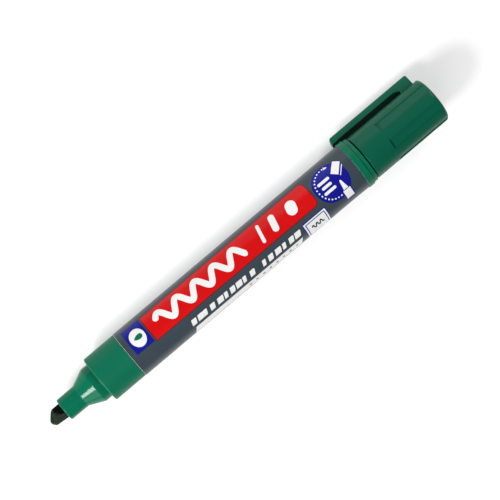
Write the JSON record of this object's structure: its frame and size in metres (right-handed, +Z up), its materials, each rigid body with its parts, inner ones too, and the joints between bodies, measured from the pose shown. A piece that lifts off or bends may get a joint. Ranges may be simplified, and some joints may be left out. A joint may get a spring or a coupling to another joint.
{
  "type": "whiteboard marker",
  "caption": "Chisel-nib whiteboard marker with its cap on the rear end: label-wrapped barrel, green front section and plug, fluted cap with a clip, fibre nib and ink reservoir.",
  "frame": {"origin": "on the marker's axis, halfway along the barrel tube", "axes": "X along the marker, from the nib (-X) to the cap's closed end (+X); +Z up, with the marker lying on a table on its rear collar and the barrel's front end, the clip on the +Y side with its edge just clear of the table"},
  "size_m": [0.1513, 0.0184, 0.0164],
  "materials": {
    "green_plastic": "satin moulded polypropylene",
    "cap_plastic": "satin moulded polypropylene, darker green",
    "barrel_plastic": "moulded polypropylene",
    "label_film": "printed plastic film, satin, dark grey",
    "nib_fibre": "bonded fibre soaked with dark ink",
    "reservoir_fibre": "fibre rod soaked with ink",
    "clear_film": "clear film",
    "soft_plastic": "soft natural polyethylene"
  },
  "bodies": {
    "pen": {"front_section": "green_plastic", "barrel": "barrel_plastic", "barrel_label": "label_film", "ink_reservoir": "reservoir_fibre", "reservoir_wrap": "clear_film", "rear_plug": "green_plastic"},
    "nib": {"nib": "nib_fibre"},
    "cap_slide": {"inner_cap": "soft_plastic"},
    "cap": {"cap": "cap_plastic"},
    "clip": {"clip": "cap_plastic"}
  },
  "joints": [
    {"name": "nib_pull", "type": "slide", "parent": "pen", "child": "nib", "axis": [-1, 0, 0], "range_m": [0, 0.03]},
    {"name": "cap_pull", "type": "slide", "parent": "pen", "child": "cap_slide", "axis": [1, 0, 0], "range_m": [0, 0.025]},
    {"name": "cap_turn", "type": "hinge", "parent": "cap_slide", "child": "cap", "pos_m": [0.0621, 0, 0], "axis": [1, 0, 0], "continuous": true},
    {"name": "clip_flex", "type": "hinge", "parent": "cap", "child": "clip", "pos_m": [0.0669, 0.00902, -0.00603], "axis": [0, -0.5554, -0.8316], "range_deg": [0, 5], "stiffness_Nm_per_rad": 1.7}
  ]
}
